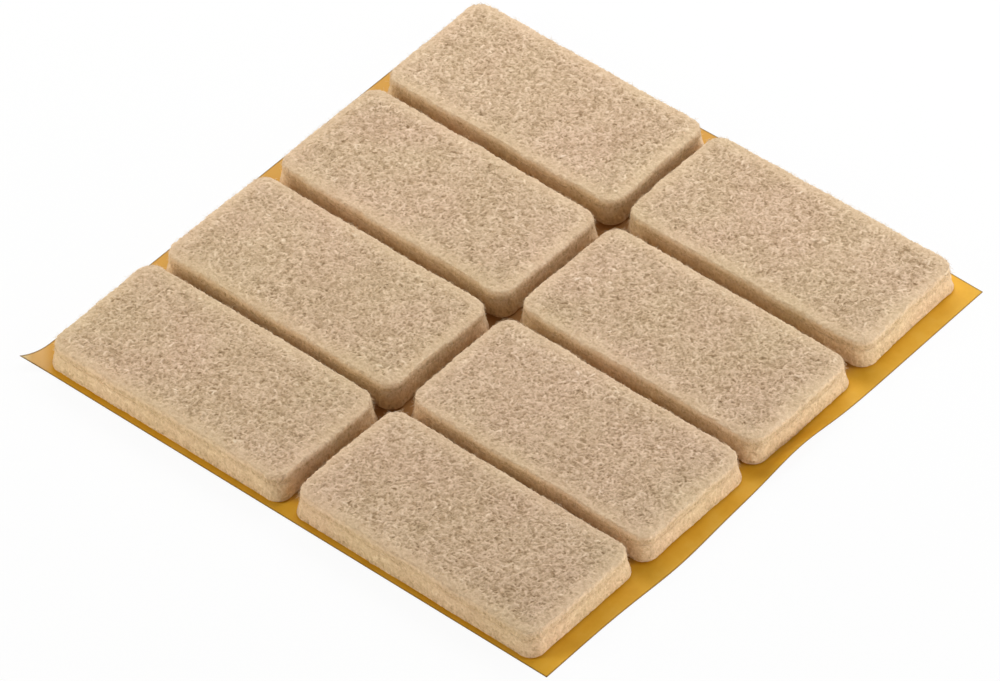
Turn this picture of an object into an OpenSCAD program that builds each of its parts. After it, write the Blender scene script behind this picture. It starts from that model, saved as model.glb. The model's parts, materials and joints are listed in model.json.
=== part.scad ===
// Sheet of self-adhesive felt furniture sliders: oblong two-ply felt pads in two
// columns on one release liner, each peeled off and stuck under a furniture leg.
// Millimetres. +Z is up, +X runs along a pad's length and +Y across the rows.
// The origin lies on the liner's underside, under the middle of the pads.

/* [Felt pad] */
// Length of a pad, along X
pad_l = 51; // [30:1:80]
// Width of a pad, along Y
pad_w = 25; // [16:1:40]
// Radius of a pad's die-cut corners, seen from above
corner_r = 3; // [1.5:0.25:6]
// Thickness of the felt ply next to the adhesive
base_ply_t = 3.3; // [2:0.1:6]
// Thickness of the felt ply that glides on the floor
glide_ply_t = 2.1; // [2:0.1:4]
// Rounding of the glide ply's upper edge
top_edge_r = 1.3; // [0.4:0.1:1.4]
// Rounding of both plies' edges along the seam between them
seam_edge_r = 0.35; // [0.2:0.05:0.5]
// Rounding of the base ply's lower edge
foot_edge_r = 0.2; // [0.1:0.05:0.4]

/* [Adhesive] */
// Thickness of the pressure-sensitive adhesive film under a pad
adhesive_t = 0.15; // [0.05:0.05:0.5]
// Distance that the film keeps inside the felt's outline
adhesive_inset = 0.4; // [0.2:0.1:1]

/* [Sheet] */
// Gap between the two columns, along X
column_gap = 2.6; // [1.5:0.1:10]
// Gap between neighbouring rows, along Y
row_gap = 2.6; // [1.5:0.1:10]
// Thickness of the liner
liner_t = 0.15; // [0.1:0.05:0.4]
// Width of bare liner beyond the pads' outer ends
end_margin = 3.7; // [3:0.1:12]
// Width of bare liner behind the back row
back_margin = 2.3; // [1.5:0.1:12]
// Width of bare liner before the front row, at the sheet's left end
front_margin_left = 1.5; // [1.2:0.1:12]
// Width of bare liner before the front row, at the sheet's right end
front_margin_right = 0.9; // [0.8:0.1:12]

/* [Curled corner] */
// Distance that the curl's fold line keeps from the nearest pad's round corner
curl_clearance = 0.6; // [0.5:0.1:1.2]
// Radius of the liner's curl at the front left corner
curl_r = 5; // [4:0.5:20]

/* [Hidden] */
$fn = 128;
COLUMNS = ["left", "right"];
ROWS = [1, 2, 3, 4];
LAYERS = ["glide_felt", "base_felt", "adhesive"];

// Each pad as it was laid: [along X, along Y, turn], off its place in the grid
laid = [
    [[0.1, 0, 0.4], [-0.3, 0.3, 0.6]],
    [[0.2, -0.1, -0.4], [0.2, -0.1, -0.1]],
    [[0, -0.2, -0.2], [0.3, -0.1, -0.3]],
    [[-0.4, 0.1, 0.2], [-0.1, 0.2, 0]],
];

column_pitch = pad_l + column_gap;
row_pitch = pad_w + row_gap;
block_l = len(COLUMNS) * column_pitch - column_gap;
block_w = len(ROWS) * row_pitch - row_gap;

// Heights of the layers' undersides
adhesive_z = liner_t;
base_z = adhesive_z + adhesive_t;
glide_z = base_z + base_ply_t;

// The liner's outline
liner_right = block_l / 2 + end_margin;
liner_left = -liner_right;
liner_back = block_w / 2 + back_margin;
liner_front_left = -block_w / 2 - front_margin_left;
liner_front_right = -block_w / 2 - front_margin_right;
sheet_span = liner_right - liner_left + liner_back - liner_front_left;
front_slope = (liner_front_right - liner_front_left) / (liner_right - liner_left);

// The front left pad's round corner, whose centre sets where the curl may start
front_left_laid = laid[len(ROWS) - 1][0];
round_x = -block_l / 2 + front_left_laid[0] + corner_r;
round_y = -block_w / 2 + front_left_laid[1] + corner_r;

// Distances from the origin towards the front left, along the sheet's diagonal
diagonal = sqrt(2);
corner_out = -(liner_left + liner_front_left) / diagonal;
fold_out = -(round_x + round_y) / diagonal + corner_r + curl_clearance;
curl_run = corner_out - fold_out;
curl_angle = curl_run / curl_r * 180 / PI;
tip_out = fold_out + curl_r * sin(curl_angle);

// The fold line runs square to the diagonal, and the corner lies a little to one side of it
fold_sum = -fold_out * diagonal;
fold_left = [liner_left, fold_sum - liner_left];
fold_front_x = (fold_sum - liner_front_left + front_slope * liner_left) / (1 + front_slope);
fold_front = [fold_front_x, fold_sum - fold_front_x];
fold_middle = [-fold_out, -fold_out] / diagonal;
corner_aside = (liner_left - liner_front_left) / diagonal;
curl_tip = ([-tip_out, -tip_out] + [corner_aside, -corner_aside]) / diagonal;

function pad_name(column, row) = str("pad_", COLUMNS[column], "_", ROWS[row]);
function node_name(column, row, layer) = str(pad_name(column, row), "_", LAYERS[layer]);

felt_colour = "#d0b493";
base_colour = "#d8bc99";
film_colour = "#e9dfc8";
liner_colour = "#d39a35";

// The upper half of a disc, which rounds one edge of a section
module half_disc(r) {
    intersection() {
        circle(r);
        translate([-r, 0]) square([2 * r, r]);
    }
}

// A layer's section: flat above and below, with rounded upper and lower edges
module section(width, t, upper_r, lower_r) {
    half = width / 2;
    translate([-half, lower_r]) square([width, t - upper_r - lower_r]);
    translate([-half + upper_r, t / 2]) square([width - 2 * upper_r, t / 2]);
    translate([-half + lower_r, 0]) square([width - 2 * lower_r, t / 2]);
    for (side = [-1, 1]) {
        translate([side * (half - upper_r), t - upper_r]) half_disc(upper_r);
        translate([side * (half - lower_r), lower_r]) mirror([0, 1]) half_disc(lower_r);
    }
}

// A round post with the section's edges, which fills one corner of a ply
module corner_post(t, upper_r, lower_r) {
    rotate_extrude() intersection() {
        section(2 * corner_r, t, upper_r, lower_r);
        square([corner_r, t]);
    }
}

// One die-cut ply of felt, standing on z = 0 with its middle on the Z axis
module ply(t, upper_r, lower_r) {
    straight_l = pad_l - 2 * corner_r;
    straight_w = pad_w - 2 * corner_r;
    rotate([90, 0, 90]) linear_extrude(straight_l, center = true) section(pad_w, t, upper_r, lower_r);
    rotate([90, 0, 0]) linear_extrude(straight_w, center = true) section(pad_l, t, upper_r, lower_r);
    for (x = [-1, 1], y = [-1, 1])
        translate([x * straight_l / 2, y * straight_w / 2, 0]) corner_post(t, upper_r, lower_r);
}

// The adhesive film's outline, inside the felt's
module film_outline() {
    film_l = pad_l - 2 * adhesive_inset;
    film_w = pad_w - 2 * adhesive_inset;
    film_r = corner_r - adhesive_inset;
    square([film_l - 2 * film_r, film_w], center = true);
    square([film_l, film_w - 2 * film_r], center = true);
    for (x = [-1, 1], y = [-1, 1])
        translate([x * (film_l / 2 - film_r), y * (film_w / 2 - film_r)]) circle(film_r);
}

// Puts a pad's layer at its place on the sheet
module at_pad(column, row, z) {
    off = laid[row][column];
    x = (column - (len(COLUMNS) - 1) / 2) * column_pitch + off[0];
    y = ((len(ROWS) - 1) / 2 - row) * row_pitch + off[1];
    translate([x, y, z]) rotate(off[2]) children();
}

module glide_felt() {
    color(felt_colour) ply(glide_ply_t, top_edge_r, seam_edge_r);
}

module base_felt() {
    color(base_colour) ply(base_ply_t, seam_edge_r, foot_edge_r);
}

module adhesive() {
    color(film_colour) linear_extrude(adhesive_t) film_outline();
}

// The liner's section along the diagonal: flat behind the fold line, bent up round a bar before it
module curl_section() {
    translate([-sheet_span, 0]) square([sheet_span, liner_t]);
    translate([0, liner_t + curl_r]) intersection() {
        difference() {
            circle(curl_r + liner_t);
            circle(curl_r);
        }
        translate([0, -curl_r - liner_t]) square(curl_r + liner_t);
    }
}

module liner_outline() {
    polygon([
        curl_tip,
        fold_front,
        [liner_right, liner_front_right],
        [liner_right, liner_back],
        [liner_left, liner_back],
        fold_left,
    ]);
}

module release_liner() {
    color(liner_colour) intersection() {
        translate(fold_middle) rotate([90, 0, 225])
            linear_extrude(2 * sheet_span, center = true) curl_section();
        linear_extrude(liner_t + curl_r) liner_outline();
    }
}

release_liner();
for (row = [0:len(ROWS) - 1], column = [0:len(COLUMNS) - 1]) {
    at_pad(column, row, glide_z) glide_felt();
    at_pad(column, row, base_z) base_felt();
    at_pad(column, row, adhesive_z) adhesive();
}
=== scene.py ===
"""Looks for a sheet of felt furniture sliders: two-ply felt pads on an amber release liner.

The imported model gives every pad's place and size. Each felt ply is rebuilt as a tangle of strands on
a die-cut block, with loose fibres on its surface, and the liner as a thin sheet with a curled corner.
Shapes are worked out in millimetres and turned to metres when a mesh is made.
"""
import json
import math

import bpy
import numpy as np
from mathutils import Matrix, Vector

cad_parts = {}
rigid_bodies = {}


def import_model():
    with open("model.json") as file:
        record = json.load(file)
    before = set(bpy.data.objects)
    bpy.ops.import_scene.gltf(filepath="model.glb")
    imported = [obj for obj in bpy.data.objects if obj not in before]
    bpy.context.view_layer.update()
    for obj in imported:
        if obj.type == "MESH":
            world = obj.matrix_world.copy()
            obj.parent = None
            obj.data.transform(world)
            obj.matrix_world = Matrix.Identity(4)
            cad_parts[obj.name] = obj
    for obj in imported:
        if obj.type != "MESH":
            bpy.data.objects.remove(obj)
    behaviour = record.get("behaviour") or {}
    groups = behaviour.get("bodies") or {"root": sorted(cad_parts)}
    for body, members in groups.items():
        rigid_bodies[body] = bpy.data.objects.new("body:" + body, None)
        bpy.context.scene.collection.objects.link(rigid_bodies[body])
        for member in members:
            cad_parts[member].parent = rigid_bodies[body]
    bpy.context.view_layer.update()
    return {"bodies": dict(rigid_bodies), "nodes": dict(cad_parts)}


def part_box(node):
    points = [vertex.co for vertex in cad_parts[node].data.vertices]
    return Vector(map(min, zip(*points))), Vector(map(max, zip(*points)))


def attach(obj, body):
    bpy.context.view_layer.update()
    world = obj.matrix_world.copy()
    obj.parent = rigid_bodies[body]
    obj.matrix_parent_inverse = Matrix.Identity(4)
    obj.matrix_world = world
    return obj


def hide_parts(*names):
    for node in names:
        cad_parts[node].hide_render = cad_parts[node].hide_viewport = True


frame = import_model()

MM = 0.001
BAKE_MAP = "OFBake"
PADS = [name for name in frame["bodies"] if name.startswith("pad_")]

# Camera, from the straight edges of the pads in the photograph
IMAGE_WIDTH_PX = 1000
FOCAL_PX = 7343
SENSOR_MM = 36
CAMERA_AZIMUTH = 42.6
CAMERA_ELEVATION = 45.12
CAMERA_ROLL = -2.5
CAMERA_TARGET_MM = (1.32, -2.76, 0)
CAMERA_DISTANCE_MM = 1210

# Felt: sizes in millimetres
CORNER_R = 3.0  # the cutting die's corner
TOP_EDGE_R = 0.45  # rounding of the face's edge
DOME_DROP = 0.32  # fall of the face over its border
DOME_BORDER = 3.0
SEAM_EDGE_R = 0.18  # rounding of both plies where they meet
FOOT_EDGE_R = 0.2
FOOT_FLARE = 0.4  # spread of the base ply at its foot
CORNER_FLARE = 0.35  # further spread at the foot's corners
EDGE_SWAY = 0.1  # how far the cut edge wanders
SWAY_WAVELENGTHS = (31, 19, 11, 6.5, 4)
EDGE_BLEND = 0.6  # depth over which the face's strands give way to the side's
FELT_STEP = 0.15  # spacing of the mesh
RASTER_STEP = 0.1  # spacing of the drawn strands' raster
STRAND_WIDTH = 0.26  # a tuft of crimped fibres; a single one is too fine to show
STRAND_LENGTH = (0.5, 1.5)
STRAND_BEND = 1.1  # spread of a strand's turn, in radians for each millimetre
PILE_DEPTH = 0.26  # depth of the pits on the face, at its rim and on the sides
RIM_PILE_DEPTH = 0.24
SIDE_PILE_DEPTH = 0.17
CALM_BORDER = 2.6  # border where the grain calms down
HIGHLIGHT_BORDER = 4.0  # border over which the face goes pale: a painted highlight for the grazing light its edge strands catch
RIM_HIGHLIGHT_BORDER = 0.9  # the brightest part of that painted highlight, right at the edge
SEAM_SHADE_AT = 0.7  # height above the seam of the shade along it, and its width
SEAM_SHADE_WIDTH = 0.9
FOOT_SHADE_TOP = 2.4  # height at which the foot's shade ends
FIBRE_R = 0.025
FIBRE_LENGTH = (0.4, 1.2)
FIBRE_LIFT = 0.1  # usual height of a loose fibre's arch, and its least and greatest
FIBRE_LIFT_RANGE = (0.02, 0.35)
FIBRE_SINK = 0.05  # depth of its root in the felt
FIBRES_FROM = (0.5, 2.0)  # heights above the foot between which the fibres set in

# Felt: counts, and shares of its tone, which runs from 0 to 1
STRAND_LAYERS = 4.0  # how many strands lie over each other
STRAND_WIDTH_SHARES = (0.6, 1.3)  # the narrowest and the widest, against the usual width
STRAND_ARCH = 0.25  # share of a strand's height that its arch gives, and what its round section gives
STRAND_ROUND = 0.3
POINTS_PER_CELL = 1.3  # points along a strand for each cell of the raster
FIBRES_PER_PAD = 4000
FIBRE_ARCH = 2.4  # how much of a sine wave its arch takes, in radians
FIBRE_BEND = 0.35
FIBRE_TAPER = 0.6
FIBRE_TONE = (0.1, 0.15)  # how much paler than the felt it is, and the spread of that
RIM_NORMALS = (0.1, 0.97)  # upward share of the normal round the edge of the face
RIM_FIBRES = 4.0  # how many more fibres grow there
SIDE_STRETCH = 0.9  # below 1 draws the side's strands out up and down
BRUSHED_STRETCH = 0.2
FLARE_POWER = 1.3  # above 1 keeps the flare near the foot
CALM_DEPTH_LOSS = 0.3  # share of the pits' depth and of the grain that is lost where it is calm
CALM_GRAIN_LOSS = 0.7
SIDE_LEVEL = 0.6  # height in the tangle that lies right on the side
HEIGHT_SHADE_TONE = 0.2  # share in the tone of a strand's height, of its own shade and of a pit; height and pit paint shade into the pits
STRAND_TONE = 0.17
PIT_SHADE_TONE = 0.12
PIT_HEIGHT = 0.12
FACE_TONE = 0.44
PALE_AND_HIGHLIGHT_TONE = 0.34  # added on a fully pale place: painted highlight on the face's edge, and on the sides paler felt with painted light
# Painted highlight on the face's edge: over its border, at its rim and down its rounded edge
BORDER_HIGHLIGHT = 0.45
RIM_HIGHLIGHT = 0.35
EDGE_HIGHLIGHT = 0.8
# The cut sides: paler felt that also paints in the light they catch, and a calmer grain
SIDE_PALE_AND_LIGHT = 0.67
SIDE_CALM = 0.5
SEAM_SHADE = 0.2
FOOT_SHADE = 0.2

# Felt: how far apart the pads' random seeds lie, and what each of a pad's pieces adds to its seed
SEED_STEP = 100
PIECE_SEEDS = {"glide": 10, "base": 50, "fibres": 90}

# Maps of the faces, in shares of the picture: the margin, a ply's side band (its start and height) and
# its caps, and a half of the liner
MAP_MARGIN = 0.01
SIDE_BAND = (0.56, 0.2)
CAP_ROW = 0.82
CAP_SPACING = 0.3
LINER_HALF = np.array([0.48, 0.96])
LINER_MARGIN = np.array([0.01, 0.02])

# Liner, in millimetres
LINER_STEP = 0.6  # spacing of the mesh
EDGE_LINE = 0.3  # width of the dark line along the edge
FRONT_SLOPE = 0.005  # how far out of square the front is cut, per millimetre
LEFT_TRIM = 0.27  # how far the left edge runs in, behind the curl
LEFT_TRIM_FROM = (-49, -36)
BACK_BOW = 1.05  # how far the back edge bows out in the middle
CURL_R = 5.0
CURL_LEAN = 0.73  # how far the curl leans forward, for each millimetre that it rises
CURL_FLARE = 0.8  # how far its tip points outwards
BUCKLE_LIFT = 1.6  # the right edge's rise at its buckle
BUCKLE_Y = 8.5
BUCKLE_HALF_WIDTH = 13.0
SWELL = 0.85  # the right edge's bulge in front of the buckle
SWELL_Y = -23.0
SWELL_HALF_WIDTH = 16.0
EDGE_BAND = (0.3, 0.5)  # both grow from so far past the pads' ends to so far past the sheet's edge
SHADE_FADE = (1.0, 4.0)  # how far inside the pads' ends the painted shade between them sets in and is full
BACK_SHADE_FADE = (4.0, 14.0)  # the same for the painted shade on the back margin
SHADE_REACH = (0.9, 0.3)  # how far under a pad the painted shade ends and is full

# Liner: the share of painted shade on its left and back margins
MARGIN_SHADE = 0.5

# Studio: how much of the floor that the camera sees is lifted to white, the surround's level, and each
# soft box: its place in metres, its width and height in metres, its power in watts and its colour
FLOOR_LIFT = 0.94
SURROUND = 0.0
SOFT_BOXES = {
    "soft_box_behind": ((-0.14, 0.26, 0.29), (0.6, 0.2), 2.0, "#fcfeff"),
    "soft_box_back_right": ((0.29, 0.2, 0.19), (0.2, 0.2), 0.56, "#ffffff"),
    "soft_box_front_left": ((-0.22, -0.3, 0.19), (0.2, 0.2), 0.76, "#fffaee"),
    "strip_light_front_left": ((-0.3, -0.4, 0.07), (0.2, 0.13), 0.42, "#fffaee"),
    "strip_light_right": ((0.4, 0.02, 0.05), (0.4, 0.09), 0.6, "#fffdf8"),
    "strip_light_front_right": ((0.28, -0.28, 0.05), (0.4, 0.09), 0.24, "#fffaf0"),
}


# Materials

def linear(hex_colour):
    """An sRGB hex colour as linear RGBA."""
    parts = [int(hex_colour[i:i + 2], 16) / 255 for i in (1, 3, 5)]
    return [c / 12.92 if c <= 0.04045 else ((c + 0.055) / 1.055) ** 2.4 for c in parts] + [1.0]


def add(tree, kind, settings=None, **links):
    """Adds a node, with its own settings and its inputs: sockets are linked, and values are set."""
    node = tree.nodes.new(kind)
    for name, value in (settings or {}).items():
        setattr(node, name, value)
    for name, value in links.items():
        key = int(name[1:]) if name[0] == "_" and name[1:].isdigit() else name.replace("_", " ")
        if isinstance(value, bpy.types.NodeSocket):
            tree.links.new(value, node.inputs[key])
        else:
            node.inputs[key].default_value = value
    return node


def new_material(name, **inputs):
    """A material with its output and a Principled shader that has those inputs."""
    material = bpy.data.materials.new(name)
    material.use_nodes = True
    tree = material.node_tree
    tree.nodes.clear()
    shader = add(tree, "ShaderNodeBsdfPrincipled", **inputs)
    add(tree, "ShaderNodeOutputMaterial", Surface=shader.outputs[0])
    return material, tree, shader


def colour_ramp(tree, factor, stops):
    """A ramp through the given (position, hex colour) stops."""
    ramp = add(tree, "ShaderNodeValToRGB", Fac=factor)
    elements = ramp.color_ramp.elements
    while len(elements) < len(stops):
        elements.new(0.5)
    for element, (position, hex_colour) in zip(elements, stops):
        element.position = position
        element.color = linear(hex_colour)
    return ramp.outputs["Color"]


def around_zero(tree, noise, share):
    """A noise's value, drawn together to that share of its range and moved to lie around 0."""
    node = add(tree, "ShaderNodeMath", {"operation": "MULTIPLY_ADD"},
               _0=noise.outputs["Fac"], _1=share, _2=-share / 2)
    return node.outputs[0]


def per_mm(size_mm):
    """The scale that gives a noise pattern features of about that size, on coordinates in metres."""
    return 1 / (size_mm * MM)


def needle_punched_felt():
    """Beige needle-punched wool felt: a matt mat of crimped strands, light on the strands that lie on top
    and brown in the pits between them, that brown being painted shade over the relief's own, with faint
    warm and cool clouds and a soft bloom where it is seen at a low angle."""
    material, tree, shader = new_material(
        "needle_punched_wool_felt", Roughness=0.95, Specular_IOR_Level=0.15,
        Sheen_Weight=0.25, Sheen_Roughness=0.45, Sheen_Tint=linear("#fff0dc"))
    tone = add(tree, "ShaderNodeAttribute", {"attribute_name": "tone"}).outputs["Fac"]
    place = add(tree, "ShaderNodeTexCoord").outputs["Object"]
    fine = add(tree, "ShaderNodeTexNoise", Vector=place, Scale=per_mm(0.3), Detail=2.0, Roughness=0.6)
    cloud = add(tree, "ShaderNodeTexNoise", Vector=place, Scale=per_mm(9.0), Detail=2.0)
    cut = add(tree, "ShaderNodeAttribute", {"attribute_name": "cut"}).outputs["Fac"]
    drawn_down = add(tree, "ShaderNodeMapping", Vector=place, Scale=(1.0, 1.0, BRUSHED_STRETCH))
    brushed = add(tree, "ShaderNodeTexNoise", Vector=drawn_down.outputs[0], Scale=per_mm(0.4), Detail=2.0)
    on_side = add(tree, "ShaderNodeMath", {"operation": "MULTIPLY"},
                  _0=around_zero(tree, brushed, 0.16), _1=cut)
    parts = add(tree, "ShaderNodeMath", {"operation": "ADD"},
                _0=around_zero(tree, fine, 0.5), _1=around_zero(tree, cloud, 0.16))
    grain = add(tree, "ShaderNodeMath", {"operation": "ADD"}, _0=parts.outputs[0], _1=on_side.outputs[0])
    shade = add(tree, "ShaderNodeMath", {"operation": "ADD"}, _0=tone, _1=grain.outputs[0])
    colour = colour_ramp(tree, shade.outputs[0], [
        (0.0, "#917759"), (0.25, "#b89e80"), (0.5, "#d5bba0"), (0.75, "#e7cfb5"), (1.0, "#f4e2cd"),
    ])
    tint = add(tree, "ShaderNodeTexNoise", Vector=place, Scale=per_mm(14.0), Detail=1.0)
    warm = colour_ramp(tree, tint.outputs["Fac"], [(0.3, "#fbfaf2"), (0.7, "#fffaf8")])
    clouded = add(tree, "ShaderNodeMix", {"data_type": "RGBA", "blend_type": "MULTIPLY"},
                  _0=1.0, _6=colour, _7=warm)
    mixed = add(tree, "ShaderNodeMix", {"data_type": "RGBA", "blend_type": "MULTIPLY"}, _0=cut,
                _6=clouded.outputs[2], _7=linear("#fffdf1"))
    tree.links.new(mixed.outputs[2], shader.inputs["Base Color"])
    bump = add(tree, "ShaderNodeBump", Strength=0.5, Distance=0.06 * MM, Height=fine.outputs["Fac"])
    tree.links.new(bump.outputs[0], shader.inputs["Normal"])
    return material


def loose_felt_fibre():
    """Single wool fibres that stand off the felt: thin, pale and slightly glossy along their length."""
    material, tree, shader = new_material("loose_wool_fibre", Roughness=0.7, Sheen_Weight=0.2)
    tone = add(tree, "ShaderNodeAttribute", {"attribute_name": "tone"}).outputs["Fac"]
    colour = colour_ramp(tree, tone, [(0.0, "#c3a27a"), (0.5, "#dcbf99"), (1.0, "#e8d3b4")])
    tree.links.new(colour, shader.inputs["Base Color"])
    return material


def siliconed_glassine():
    """Amber glassine release paper, pressed smooth and coated with silicone: an even golden sheet with
    faint clouds from its pulp, a satin gleam, a thin dark line along its edge, brown painted shade between
    the pads and on the left and back margins, and a painted sheen that turns the curled corner pale."""
    material, tree, shader = new_material("siliconed_glassine_paper", IOR=1.45, Specular_IOR_Level=0.2)
    place = add(tree, "ShaderNodeTexCoord").outputs["Object"]
    edge = add(tree, "ShaderNodeAttribute", {"attribute_name": "edge"}).outputs["Fac"]
    pulp = add(tree, "ShaderNodeTexNoise", Vector=place, Scale=per_mm(5.0), Detail=4.0, Roughness=0.6)
    golden = colour_ramp(tree, pulp.outputs["Fac"], [(0.3, "#e2a626"), (0.5, "#e8af31"), (0.72, "#ecb842")])
    painted_shade = add(tree, "ShaderNodeAttribute", {"attribute_name": "painted_shade"}).outputs["Fac"]
    bent = add(tree, "ShaderNodeAttribute", {"attribute_name": "bent"}).outputs["Fac"]
    # Painted shade: the liner goes brown between the pads and on its left and back margins
    painted_shade_colour = add(tree, "ShaderNodeMix", {"data_type": "RGBA"}, _0=painted_shade, _6=golden, _7=linear("#b88750"))
    # Painted sheen: the curled corner turns pale and whitish, as if it caught the light
    pale = colour_ramp(tree, bent, [(0.0, "#deb06a"), (0.7, "#deb06a"), (1.0, "#f0dca8")])
    sheen_share = add(tree, "ShaderNodeMapRange", _0=bent, _1=0.05, _2=0.4)
    painted_sheen = add(tree, "ShaderNodeMix", {"data_type": "RGBA"}, _0=sheen_share.outputs[0],
                   _6=painted_shade_colour.outputs[2], _7=pale)
    # Darker along the very edge
    cut = add(tree, "ShaderNodeMix", {"data_type": "RGBA"}, _0=edge,
              _6=painted_sheen.outputs[2], _7=linear("#6b4a1c"))
    tree.links.new(cut.outputs[2], shader.inputs["Base Color"])
    gleam = add(tree, "ShaderNodeTexNoise", Vector=place, Scale=per_mm(2.5), Detail=3.0)
    rough = add(tree, "ShaderNodeMapRange", _0=gleam.outputs["Fac"], _1=0.3, _2=0.7, _3=0.48, _4=0.6)
    tree.links.new(rough.outputs[0], shader.inputs["Roughness"])
    bump = add(tree, "ShaderNodeBump", Strength=0.15, Distance=0.05 * MM, Height=pulp.outputs["Fac"])
    tree.links.new(bump.outputs[0], shader.inputs["Normal"])
    return material


def acrylic_adhesive():
    """Pressure-sensitive acrylic film: milky and wet-looking, with fine ripples from the coating knife."""
    material, tree, shader = new_material("acrylic_adhesive_film", IOR=1.47)
    place = add(tree, "ShaderNodeTexCoord").outputs["Object"]
    ripple = add(tree, "ShaderNodeTexNoise", Vector=place, Scale=per_mm(1.2), Detail=2.0)
    colour = colour_ramp(tree, ripple.outputs["Fac"], [(0.3, "#d9cba6"), (0.7, "#eadfc2")])
    tree.links.new(colour, shader.inputs["Base Color"])
    rough = add(tree, "ShaderNodeMapRange", _0=ripple.outputs["Fac"], _1=0.3, _2=0.7, _3=0.15, _4=0.3)
    tree.links.new(rough.outputs[0], shader.inputs["Roughness"])
    bump = add(tree, "ShaderNodeBump", Strength=0.3, Distance=0.03 * MM, Height=ripple.outputs["Fac"])
    tree.links.new(bump.outputs[0], shader.inputs["Normal"])
    return material


def white_sweep():
    """A matt white studio floor: what the camera sees is lifted to white, and a faint shadow stays."""
    material, tree, shader = new_material(
        "white_painted_floor", Base_Color=linear("#f2f2f2"), Roughness=1.0, Specular_IOR_Level=0.0)
    path = add(tree, "ShaderNodeLightPath").outputs
    seen = add(tree, "ShaderNodeMath", {"operation": "MAXIMUM"},
               _0=path["Is Camera Ray"], _1=path["Is Glossy Ray"])
    shown = add(tree, "ShaderNodeMath", {"operation": "MAXIMUM"},
                _0=seen.outputs[0], _1=path["Is Transmission Ray"])
    share = add(tree, "ShaderNodeMath", {"operation": "MULTIPLY"}, _0=shown.outputs[0], _1=FLOOR_LIFT)
    white = add(tree, "ShaderNodeEmission", Strength=1.0)
    mixed = add(tree, "ShaderNodeMixShader", _0=share.outputs[0], _1=shader.outputs[0], _2=white.outputs[0])
    output = next(node for node in tree.nodes if node.type == "OUTPUT_MATERIAL")
    tree.links.new(mixed.outputs[0], output.inputs["Surface"])
    return material


# Meshes

def new_piece(name, points_mm, faces, material, values=None, corner_map=None):
    """A mesh object from points in millimetres, with named values on its points and a map of its faces."""
    mesh = bpy.data.meshes.new(name)
    mesh.from_pydata((np.asarray(points_mm) * MM).tolist(), [], faces)
    for key, numbers in (values or {}).items():
        attribute = mesh.attributes.new(key, "FLOAT", "POINT")
        attribute.data.foreach_set("value", np.asarray(numbers, np.float32))
    if corner_map is not None:
        layer = mesh.uv_layers.new(name=BAKE_MAP)
        layer.data.foreach_set("uv", np.asarray(corner_map, np.float32).ravel())
    mesh.shade_smooth()
    mesh.materials.append(material)
    piece = bpy.data.objects.new(name, mesh)
    bpy.context.scene.collection.objects.link(piece)
    return piece


def grid_quads(index):
    """The faces of a grid of points, each as four points anticlockwise from above."""
    return np.stack([index[:-1, :-1], index[1:, :-1], index[1:, 1:], index[:-1, 1:]], -1).reshape(-1, 4)


def smooth_step(low, high, x):
    """0 up to low, 1 from high on, and smooth between them, where low may be the larger."""
    t = np.clip((x - low) / (high - low), 0, 1)
    return t * t * (3 - 2 * t)


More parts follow.
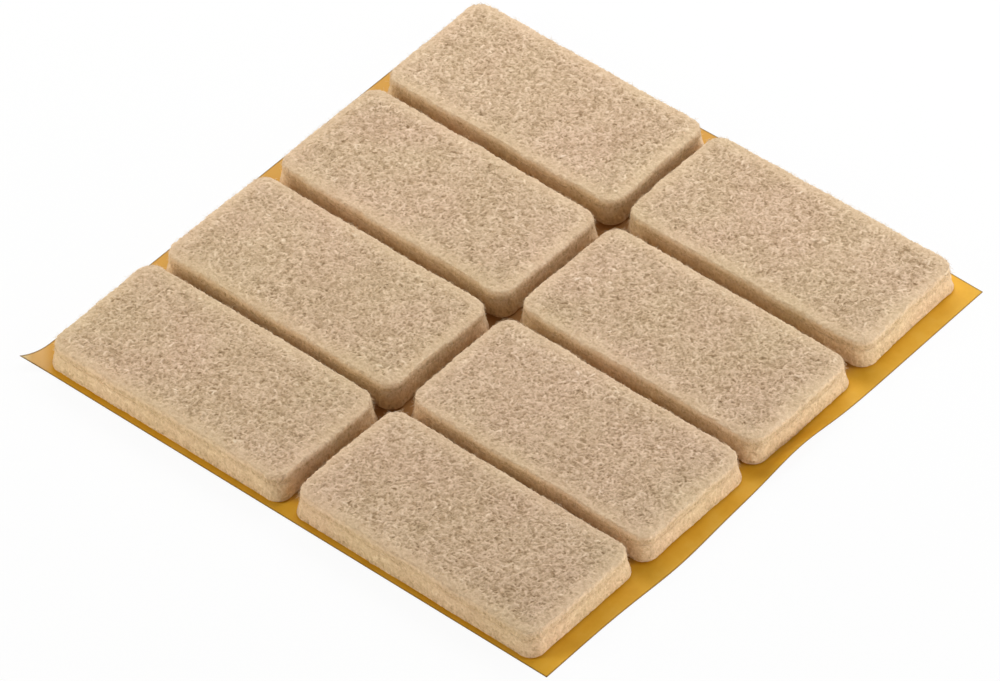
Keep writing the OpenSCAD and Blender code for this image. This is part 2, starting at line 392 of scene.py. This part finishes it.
class Tangle:
    """A patch of felt seen flat: many short curved strands over each other, drawn into a raster.

    height runs evenly from 0 in the pits to 1 on the upper strands, and shade is that of the strand on top.
    """

    def __init__(self, size_mm, seed):
        rng = np.random.default_rng(seed)
        self.size = np.asarray(size_mm, float)
        count = int(STRAND_LAYERS * self.size.prod() / (STRAND_WIDTH * sum(STRAND_LENGTH) / 2))
        length = rng.uniform(*STRAND_LENGTH, count)
        heading = rng.uniform(-math.pi, math.pi, count)
        bend = rng.normal(0, STRAND_BEND, count)
        level = rng.random(count)
        shade = rng.normal(0, 1, count)
        half = STRAND_WIDTH / 2 * rng.uniform(*STRAND_WIDTH_SHARES, count)

        along = np.linspace(0, 1, int(STRAND_LENGTH[1] / RASTER_STEP * POINTS_PER_CELL))
        angle = heading[:, None] + bend[:, None] * along * length[:, None]
        step = length[:, None] / len(along)
        x = rng.uniform(0, self.size[0], count)[:, None] + np.cumsum(np.cos(angle) * step, 1)
        y = rng.uniform(0, self.size[1], count)[:, None] + np.cumsum(np.sin(angle) * step, 1)
        arch = level[:, None] * (1 - STRAND_ARCH) + STRAND_ARCH * np.sin(np.pi * along)

        reach = math.ceil(STRAND_WIDTH / 2 * STRAND_WIDTH_SHARES[1] / RASTER_STEP)
        across = np.arange(-reach, reach + 1) * RASTER_STEP
        inside = 1 - (across[None, :] / half[:, None]) ** 2
        dome = np.sqrt(np.clip(inside, 0, None))
        px = x[:, :, None] - np.sin(angle)[:, :, None] * across
        py = y[:, :, None] + np.cos(angle)[:, :, None] * across
        top = arch[:, :, None] * (1 - STRAND_ROUND) + STRAND_ROUND * dome[:, None, :]
        drawn = np.broadcast_to(inside[:, None, :] > 0, top.shape)

        shape = np.ceil(self.size / RASTER_STEP).astype(int) + 1
        column = np.round(px[drawn] / RASTER_STEP).astype(int) % shape[0]
        row = np.round(py[drawn] / RASTER_STEP).astype(int) % shape[1]
        rise = top[drawn]
        shades = np.broadcast_to(shade[:, None, None], top.shape)[drawn]
        order = np.argsort(rise)
        cell = (column * shape[1] + row)[order]
        drawn_height = np.zeros(shape.prod())
        self.shade = np.zeros(shape.prod())
        drawn_height[cell] = rise[order]
        self.shade[cell] = shades[order]
        self.height = np.empty(shape.prod())
        self.height[np.argsort(drawn_height)] = np.linspace(0, 1, shape.prod())
        self.height = self.height.reshape(shape)
        self.shade = self.shade.reshape(shape)

    def at(self, u, v):
        """Height and shade at places given in millimetres from the patch's corner."""
        a = u / RASTER_STEP
        b = v / RASTER_STEP
        i = np.floor(a).astype(int)
        j = np.floor(b).astype(int)
        fa, fb = a - i, b - j
        found = []
        for field in (self.height, self.shade):
            n, m = field.shape
            near = field[i % n, j % m] * (1 - fa) + field[(i + 1) % n, j % m] * fa
            far = field[i % n, (j + 1) % m] * (1 - fa) + field[(i + 1) % n, (j + 1) % m] * fa
            found.append(near * (1 - fb) + far * fb)
        return found


def felt_tone(height, shade, calm, pale):
    """The felt's tone, from 0 in the pits to 1 on a pale strand.

    calm and pale go from 0 on the open face to 1 at its edge, where the strands lie close: calm quiets
    their grain, and pale is a painted highlight for the grazing light they catch. On the sides pale is
    paler cut felt together with painted light.
    """
    # Painted shade: the low strands and the pits between them are darker, over the relief's own shade
    pit = smooth_step(PIT_HEIGHT, 0.0, height)
    grain = HEIGHT_SHADE_TONE * (height - 0.5) + STRAND_TONE * shade - PIT_SHADE_TONE * pit
    return FACE_TONE + grain * (1 - CALM_GRAIN_LOSS * calm) + PALE_AND_HIGHLIGHT_TONE * pale


def edge_sway(p, seed):
    """How far a die-cut edge wanders in or out at places along it, as soft felt does."""
    rng = np.random.default_rng(seed)
    sway = np.zeros(len(p))
    for wavelength in SWAY_WAVELENGTHS:
        heading = rng.uniform(0, 2 * np.pi)
        wave = (p @ [math.cos(heading), math.sin(heading)]) * 2 * np.pi / wavelength
        sway += np.sin(wave + rng.uniform(0, 2 * np.pi)) * math.sqrt(wavelength / SWAY_WAVELENGTHS[0])
    return EDGE_SWAY * sway


def rounded_inset(p, half):
    """How far places lie inside a pad's rounded outline of those half sizes."""
    q = np.abs(p) - (half - CORNER_R)
    outer = np.linalg.norm(np.clip(q, 0, None), axis=-1)
    return CORNER_R - outer - np.minimum(q.max(-1), 0)


class Outline:
    """A pad's rounded outline, cut into steps, and the grid of places inside it."""

    def __init__(self, length, width):
        self.half = np.array([length, width]) / 2
        self.x = self.lines(self.half[0])
        self.y = self.lines(self.half[1])
        nx, ny = len(self.x), len(self.y)
        ring = [(i, 0) for i in range(nx - 1)] + [(nx - 1, j) for j in range(ny - 1)]
        ring += [(i, ny - 1) for i in range(nx - 1, 0, -1)] + [(0, j) for j in range(ny - 1, 0, -1)]
        self.ring = np.array(ring)
        gx, gy = np.meshgrid(self.x, self.y, indexing="ij")
        self.grid = self.rounded(np.stack([gx, gy], -1))
        self.edge = self.grid[self.ring[:, 0], self.ring[:, 1]]
        step = np.linalg.norm(np.roll(self.edge, -1, 0) - self.edge, axis=1)
        self.around = np.concatenate([[0], np.cumsum(step)[:-1]])
        self.length = step.sum()
        self.out = self.outward(self.edge)

    @staticmethod
    def lines(half):
        """Grid lines from edge to edge: close together round the upper edge, then evenly spaced."""
        bend = np.radians(np.linspace(0, 90, 7))
        rim = half - TOP_EDGE_R * (1 - np.cos(bend))
        inner = rim[-1]
        count = max(2, round(2 * inner / FELT_STEP))
        middle = np.linspace(-inner, inner, count + 1)
        return np.concatenate([-rim[:-1], middle, rim[:-1][::-1]])

    def rounded(self, p):
        """Moves places of the full rectangle into the outline's round corners."""
        core = self.half - CORNER_R
        over = np.clip(np.abs(p) - core, 0, None)
        other = over[..., ::-1]
        moved = over * np.sqrt(1 - other ** 2 / (2 * CORNER_R ** 2))
        return np.sign(p) * (np.minimum(np.abs(p), core) + moved)

    def outward(self, p):
        """The level direction out of the outline at places near it."""
        core = self.half - CORNER_R
        over = np.clip(np.abs(p) - core, 0, None)
        flat = np.linalg.norm(over, axis=-1, keepdims=True)
        return np.sign(p) * over / np.maximum(flat, 1e-9)


def side_rows(thickness, upper_r, lower_r, round_top):
    """The rows down a ply's side: [inset, height, slope of the normal], from the top to the bottom."""
    rows = []
    if round_top:
        for a in np.radians(np.linspace(90, 0, 5)[:-1]):
            rows.append((upper_r * (1 - math.cos(a)), thickness - upper_r + upper_r * math.sin(a), a))
    low, high = lower_r, thickness - upper_r
    for z in np.linspace(high, low, max(2, round((high - low) / FELT_STEP)) + 1):
        rows.append((0.0, z, 0.0))
    for a in np.radians(np.linspace(0, 90, 5)[1:]):
        rows.append((lower_r * (1 - math.cos(a)), lower_r - lower_r * math.sin(a), -a))
    return np.array(rows)


def felt_ply(name, outline, thickness, upper_r, lower_r, seed, sway_seed, place, material, face):
    """One ply of felt. With face it has a tangled upper face; without, its flat upper face is covered.

    Returns the piece, and its points, normals and tones for the loose fibres.
    """
    side = Tangle((outline.length, thickness), seed + 1)
    sway = edge_sway(outline.edge, sway_seed)
    ring_count = len(outline.ring)
    rim_height = thickness - DOME_DROP if face else thickness
    points, normals, tones, cuts = [], [], [], []
    faces, corners = [], []

    if face:
        top = Tangle(2 * outline.half, seed + 2)
        flat = outline.grid.reshape(-1, 2)
        inset = rounded_inset(flat, outline.half).clip(0)
        calm = smooth_step(CALM_BORDER, 0.2, inset)
        # A painted highlight over the face's border, brightest at its rim, for grazing light caught by the
        # edge strands
        pale = BORDER_HIGHLIGHT * smooth_step(HIGHLIGHT_BORDER, 0.5, inset)
        pale += RIM_HIGHLIGHT * smooth_step(RIM_HIGHLIGHT_BORDER, 0, inset)
        lean = (upper_r - inset).clip(0) / upper_r
        rise = np.sqrt(1 - lean ** 2)
        out = outline.outward(flat)
        unrolled = flat + out * (upper_r * (np.arcsin(lean) - lean))[:, None] + outline.half
        height, shade = top.at(unrolled[:, 0], unrolled[:, 1])
        normal = np.concatenate([out * lean[:, None], rise[:, None]], 1)
        dome = DOME_DROP * (1 - ((DOME_BORDER - inset).clip(0) / DOME_BORDER) ** 2)
        base = np.concatenate([flat, (rim_height - upper_r + upper_r * rise + dome)[:, None]], 1)
        base[:, :2] += out * (edge_sway(flat, sway_seed) * lean)[:, None]
        depth = PILE_DEPTH * (1 - CALM_DEPTH_LOSS * calm)
        depth += (RIM_PILE_DEPTH - depth) * lean
        grid_points = base + normal * ((height - 1) * depth)[:, None]
        nx, ny = len(outline.x), len(outline.y)
        index = np.arange(nx * ny).reshape(nx, ny)
        quads = grid_quads(index)
        points.append(grid_points)
        normals.append(normal)
        tones.append(felt_tone(height, shade, calm, pale))
        cuts.append(0.5 * smooth_step(HIGHLIGHT_BORDER, 0.3, inset))
        faces += quads.tolist()
        chart = (flat + outline.half) / (2 * outline.half[0])
        corners.append(chart[quads].reshape(-1, 2) * (1 - 2 * MAP_MARGIN) + MAP_MARGIN)
        first_ring = index[outline.ring[:, 0], outline.ring[:, 1]]

    rows = side_rows(rim_height, upper_r, lower_r, not face)
    row_index = []
    start = sum(len(p) for p in points)
    for k, (row_inset, z, slope) in enumerate(rows):
        if face and k == 0:
            row_index.append(first_ring)
            continue
        height, shade = side.at(outline.around, np.full(ring_count, z * SIDE_STRETCH))
        push = (height - SIDE_LEVEL) * SIDE_PILE_DEPTH
        above_seam = z if face else z - thickness
        seam = SEAM_SHADE * math.exp(-((above_seam - SEAM_SHADE_AT) / SEAM_SHADE_WIDTH) ** 2)
        foot = 0 if face else FOOT_SHADE * max(0, 1 - z / FOOT_SHADE_TOP)
        # The sides: paler cut felt with painted light on it, less the shade along the seam and at the foot
        tone = felt_tone(height, shade, SIDE_CALM, SIDE_PALE_AND_LIGHT) - seam - foot
        if face:
            depth = rows[0][1] - z
            over = outline.edge + outline.out * (upper_r * (math.pi / 2 - 1) + depth) + outline.half
            height, shade = top.at(over[:, 0], over[:, 1])
            share = smooth_step(0, EDGE_BLEND, depth)
            push = (height - 1) * RIM_PILE_DEPTH * (1 - share) + push * share
            # The rounded edge keeps the rim's painted highlight
            tone = felt_tone(height, shade, 1, EDGE_HIGHLIGHT) * (1 - share) + tone * share
        fade = math.cos(slope) ** 2
        low = 0 if face else (1 - z / thickness) ** FLARE_POWER
        flare = low * (FOOT_FLARE + CORNER_FLARE * 2 * np.abs(outline.out.prod(1)))
        level = outline.edge + outline.out * ((push + sway) * fade - row_inset + flare)[:, None]
        points.append(np.concatenate([level, np.full((ring_count, 1), z)], 1))
        tilt = np.full((ring_count, 1), math.sin(slope))
        normals.append(np.concatenate([outline.out * math.cos(slope), tilt], 1))
        tones.append(tone)
        cuts.append(np.full(ring_count, 0.5 + 0.5 * smooth_step(0, EDGE_BLEND, depth) if face else 1.0))
        row_index.append(start + np.arange(ring_count))
        start += ring_count

    columns = np.arange(ring_count)
    for k in range(len(rows) - 1):
        upper, lower = row_index[k], row_index[k + 1]
        quads = np.stack([upper, lower, np.roll(lower, -1), np.roll(upper, -1)], 1)
        faces += quads.tolist()
        u = np.stack([columns, columns, columns + 1, columns + 1], 1) / ring_count
        v = SIDE_BAND[0] + SIDE_BAND[1] * np.array([k, k + 1, k + 1, k]) / len(rows)
        chart = np.stack([u, np.broadcast_to(v, u.shape)], -1)
        corners.append(chart.reshape(-1, 2))
    points = np.concatenate(points)
    caps = [row_index[-1][::-1]] if face else [row_index[-1][::-1], row_index[0]]
    for n, cap in enumerate(caps):
        faces.append(cap.tolist())
        chart = (points[cap, :2] + outline.half) / (8 * outline.half[0])
        corners.append(chart + [MAP_MARGIN + CAP_SPACING * n, CAP_ROW])

    points = placed(points, place)
    normals = np.concatenate(normals) @ turn_matrix(place[3]).T
    tones = np.concatenate(tones)
    values = {"tone": tones, "cut": np.concatenate(cuts)}
    piece = new_piece(name, points, faces, material, values, np.concatenate(corners))
    return piece, points, normals, tones


def turn_matrix(angle):
    """A turn about +Z."""
    c, s = math.cos(angle), math.sin(angle)
    return np.array([[c, -s, 0], [s, c, 0], [0, 0, 1]])


def placed(points, place):
    """Points of a piece's own frame, moved to its place (x, y, z, turn) on the sheet."""
    return points @ turn_matrix(place[3]).T + np.array(place[:3])


def loose_fibres(name, surfaces, seed, material):
    """Fibres that stand off the felt: most lie along it, and those at the edges stick out."""
    rng = np.random.default_rng(seed)
    roots, outs, tones = [np.concatenate(parts) for parts in zip(*surfaces)]
    rim = (outs[:, 2] > RIM_NORMALS[0]) & (outs[:, 2] < RIM_NORMALS[1])
    above_foot = smooth_step(*FIBRES_FROM, roots[:, 2] - roots[:, 2].min())
    chance = (1.0 + RIM_FIBRES * rim) * above_foot
    pick = rng.choice(len(roots), FIBRES_PER_PAD, p=chance / chance.sum())
    root, out = roots[pick], outs[pick]
    out = out / np.linalg.norm(out, axis=1, keepdims=True)
    loose = rng.normal(0, 1, root.shape)
    along = loose - out * (loose * out).sum(1, keepdims=True)
    along /= np.linalg.norm(along, axis=1, keepdims=True)
    across = np.cross(out, along)
    length = rng.uniform(*FIBRE_LENGTH, FIBRES_PER_PAD)
    lift = rng.exponential(FIBRE_LIFT, FIBRES_PER_PAD).clip(*FIBRE_LIFT_RANGE)
    bend = rng.normal(0, FIBRE_BEND, FIBRES_PER_PAD)

    t = np.linspace(0, 1, 6)
    forward = (length[:, None] * t)[:, :, None] * along[:, None]
    up = (lift[:, None] * np.sin(t * FIBRE_ARCH) - FIBRE_SINK)[:, :, None] * out[:, None]
    sway = ((bend * length)[:, None] * t ** 2)[:, :, None] * across[:, None]
    line = root[:, None] + forward + up + sway
    line[..., 2] = np.maximum(line[..., 2], roots[:, 2].min() + 2 * FIBRE_R)

    sides = np.radians([90, 210, 330])
    spoke = np.cos(sides)[None, :, None] * across[:, None] + np.sin(sides)[None, :, None] * out[:, None]
    radius = FIBRE_R * (1 - FIBRE_TAPER * t)
    points = line[:, :, None] + spoke[:, None] * radius[None, :, None, None]
    index = np.arange(points[..., 0].size).reshape(FIBRES_PER_PAD, len(t), 3)
    ahead = np.roll(index, -1, 2)
    walls = np.stack([index[:, :-1], ahead[:, :-1], ahead[:, 1:], index[:, 1:]], -1).reshape(-1, 4)
    ends = np.concatenate([index[:, 0, ::-1], index[:, -1]])
    tone = np.clip(tones[pick] + rng.normal(*FIBRE_TONE, FIBRES_PER_PAD), 0, 1)
    point_tone = np.repeat(tone, len(t) * 3)
    faces = walls.tolist() + ends.tolist()
    order = np.concatenate([walls.ravel(), ends.ravel()])
    chart = np.stack([0.02 + 0.96 * point_tone[order], np.full(len(order), 0.5)], 1)
    return new_piece(name, points.reshape(-1, 3), faces, material, {"tone": point_tone}, chart)


def pad_place(body):
    """A pad's outline size and the places of its two plies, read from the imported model."""
    found = {}
    for ply in ("glide", "base"):
        mesh = frame["nodes"][f"{body}_{ply}_felt"].data
        co = np.array([v.co for v in mesh.vertices]) / MM
        low, high = co.min(0), co.max(0)
        middle = (low + high) / 2
        level = co[:, :2] - middle[:2]
        spread = level.T @ level
        turn = 0.5 * math.atan2(2 * spread[0, 1], spread[0, 0] - spread[1, 1])
        straight = level @ turn_matrix(turn)[:2, :2]
        size = straight.max(0) - straight.min(0)
        found[ply] = (size, high[2] - low[2], (middle[0], middle[1], low[2], turn))
    return found


def felt_pads():
    """Every pad: its two plies of felt, its loose fibres and its adhesive film."""
    felt = needle_punched_felt()
    fibre = loose_felt_fibre()
    film = acrylic_adhesive()
    for number, body in enumerate(PADS):
        places = pad_place(body)
        pad_seed = SEED_STEP * number
        surfaces = []
        for ply, upper_r, lower_r in (
            ("glide", TOP_EDGE_R, SEAM_EDGE_R), ("base", SEAM_EDGE_R, FOOT_EDGE_R),
        ):
            size, thickness, place = places[ply]
            outline = Outline(*size)
            piece, *surface = felt_ply(
                f"{body}_{ply}_ply", outline, thickness, upper_r, lower_r, pad_seed + PIECE_SEEDS[ply],
                pad_seed, place, felt, ply == "glide")
            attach(piece, body)
            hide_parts(f"{body}_{ply}_felt")
            surfaces.append(surface)
        fibre_seed = pad_seed + PIECE_SEEDS["fibres"]
        fuzz = loose_fibres(f"{body}_loose_fibres", surfaces, fibre_seed, fibre)
        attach(fuzz, body)
        node = frame["nodes"][f"{body}_adhesive"]
        node.data.materials.clear()
        node.data.materials.append(film)


def edged_steps(length):
    """Even steps from 0 to 1 along a side of the liner, with a narrow one at each end for its cut edge."""
    inner = np.linspace(EDGE_LINE, length - EDGE_LINE, round(length / LINER_STEP))
    return np.concatenate([[0], inner, [length]]) / length


def liner_sheet():
    """The release liner: a thin sheet, cut a little out of square, with a curled corner and a wavy edge."""
    node = frame["nodes"]["release_liner"]
    co = np.array([v.co for v in node.data.vertices]) / MM
    low, high = co.min(0), co.max(0)
    flat = co[co[:, 2] < 1e-3]
    thickness = np.unique(np.round(co[:, 2], 4))[1]
    fold_out = (-(flat[:, 0] + flat[:, 1]) / math.sqrt(2)).max()
    front_right = flat[flat[:, 0] > high[0] - 0.1][:, 1].min()
    feet = [np.array(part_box(f"{body}_base_felt"))[:, :2] / MM for body in PADS]
    pad_end, pad_back = np.max([foot[1] for foot in feet], 0)

    steps = [edged_steps(high[k] - low[k]) for k in (0, 1)]
    nx, ny = (len(s) - 1 for s in steps)
    u, v = np.meshgrid(*steps, indexing="ij")
    x = low[0] + (high[0] - low[0]) * u
    front = front_right + FRONT_SLOPE * (x - high[0])
    back = high[1] + BACK_BOW * (1 - np.abs(x) / high[0])
    y = front + (back - front) * v
    x += LEFT_TRIM * (1 - u) * smooth_step(*LEFT_TRIM_FROM, y)

    flat_places = np.stack([x, y], -1)
    insets = [rounded_inset(flat_places - foot.mean(0), (foot[1] - foot[0]) / 2) for foot in feet]
    covered = np.max(insets, 0)
    # Painted shade on the liner between the pads and on its left and back margins, fading out under the
    # pads
    shade_from, shade_full = SHADE_FADE
    painted_shade = smooth_step(pad_end - shade_from, pad_end - shade_full, np.abs(x))
    painted_shade *= smooth_step(pad_end, pad_end - shade_full, np.abs(y))
    left_margin = smooth_step(shade_from - pad_end, -pad_end, x)
    back_margin = smooth_step(pad_back - shade_from, pad_back, y)
    back_margin *= smooth_step(pad_end - BACK_SHADE_FADE[0], pad_end - BACK_SHADE_FADE[1], x)
    margin = np.maximum(left_margin, back_margin)
    painted_shade = np.maximum(painted_shade, MARGIN_SHADE * margin) * smooth_step(*SHADE_REACH, covered)

    out = -(x + y) / math.sqrt(2)
    past = np.clip(out - fold_out, 0, None)
    lift = CURL_R * (1 - np.cos(past / CURL_R))
    lean = np.sin(past / CURL_R) / math.sqrt(2)
    x = x - CURL_FLARE * (past / past.max()) ** 4
    y = y - CURL_LEAN * lift
    edge_share = smooth_step(pad_end + EDGE_BAND[0], high[0] + EDGE_BAND[1], x)
    lift += BUCKLE_LIFT * edge_share * np.exp(-2 * ((y - BUCKLE_Y) / BUCKLE_HALF_WIDTH) ** 2)
    x += SWELL * edge_share * np.exp(-2 * ((y - SWELL_Y) / SWELL_HALF_WIDTH) ** 2)

    below = np.stack([x, y, lift], -1).reshape(-1, 3)
    above = np.stack([x + lean * thickness, y + lean * thickness, lift + thickness], -1).reshape(-1, 3)
    index = np.arange((nx + 1) * (ny + 1)).reshape(nx + 1, ny + 1)
    count = index.size
    quads = grid_quads(index)
    rim = np.concatenate([index[:-1, 0], index[-1, :-1], index[:0:-1, -1], index[0, :0:-1]])
    ahead = np.roll(rim, -1)
    band = np.stack([rim, ahead, ahead + count, rim + count], 1)
    faces = (quads + count).tolist() + quads[:, ::-1].tolist() + band.tolist()
    under_map = np.stack([u, v], -1).reshape(-1, 2) * LINER_HALF + LINER_MARGIN
    both = np.concatenate([under_map, under_map + [0.5, 0]])
    order = np.concatenate([(quads + count).ravel(), quads[:, ::-1].ravel(), band.ravel()])
    on_rim = np.zeros((nx + 1, ny + 1))
    on_rim[[0, -1], :] = 1
    on_rim[:, [0, -1]] = 1
    values = {"edge": on_rim, "painted_shade": painted_shade, "bent": past / past.max()}
    values = {key: np.tile(value.ravel(), 2) for key, value in values.items()}
    piece = new_piece("release_liner_sheet", np.concatenate([below, above]), faces, siliconed_glassine(),
                      values, both[order])
    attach(piece, "liner")
    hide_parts("release_liner")


# Stage

def studio():
    """A white floor and soft boxes close to the sheet: one behind it and the rest right and front."""
    bpy.ops.mesh.primitive_plane_add(size=6, location=(0, 0, -0.05 * MM))
    floor = bpy.context.object
    floor.name = "studio_floor"
    floor.data.materials.append(white_sweep())

    world = bpy.data.worlds.new("white_surround")
    world.use_nodes = True
    bpy.context.scene.world = world
    tree = world.node_tree
    path = add(tree, "ShaderNodeLightPath").outputs
    level = add(tree, "ShaderNodeMapRange", _0=path["Is Camera Ray"], _3=SURROUND, _4=1.0)
    tree.links.new(level.outputs[0], tree.nodes["Background"].inputs["Strength"])
    tree.nodes["Background"].inputs["Color"].default_value = (1, 1, 1, 1)

    for name, (place, side, power, colour) in SOFT_BOXES.items():
        lamp = bpy.data.lights.new(name, "AREA")
        lamp.shape = "RECTANGLE"
        lamp.size, lamp.size_y = side
        lamp.energy = power
        lamp.color = linear(colour)[:3]
        box = bpy.data.objects.new(name, lamp)
        box.location = place
        box.rotation_euler = (-box.location).to_track_quat("-Z", "Y").to_euler()
        box.visible_camera = False
        bpy.context.scene.collection.objects.link(box)


def camera():
    """The photograph's camera: a long lens that looks down on the sheet from its front right."""
    az, el, roll = (math.radians(a) for a in (CAMERA_AZIMUTH, CAMERA_ELEVATION, CAMERA_ROLL))
    back = Vector((math.sin(az) * math.cos(el), -math.cos(az) * math.cos(el), math.sin(el)))
    right = Vector((0, 0, 1)).cross(back).normalized()
    up = back.cross(right)
    rolled_right = right * math.cos(roll) + up * math.sin(roll)
    rolled_up = up * math.cos(roll) - right * math.sin(roll)
    eye = (Vector(CAMERA_TARGET_MM) + back * CAMERA_DISTANCE_MM) * MM
    lens = bpy.data.cameras.new("photo_camera")
    lens.sensor_fit = "HORIZONTAL"
    lens.sensor_width = SENSOR_MM
    lens.lens = FOCAL_PX / IMAGE_WIDTH_PX * SENSOR_MM
    view = bpy.data.objects.new("photo_camera", lens)
    turn = Matrix((rolled_right, rolled_up, back)).transposed().to_4x4()
    view.matrix_world = Matrix.Translation(eye) @ turn
    bpy.context.scene.collection.objects.link(view)
    bpy.context.scene.camera = view


camera()
studio()
liner_sheet()
felt_pads()
bpy.context.scene.view_settings.view_transform = "Standard"
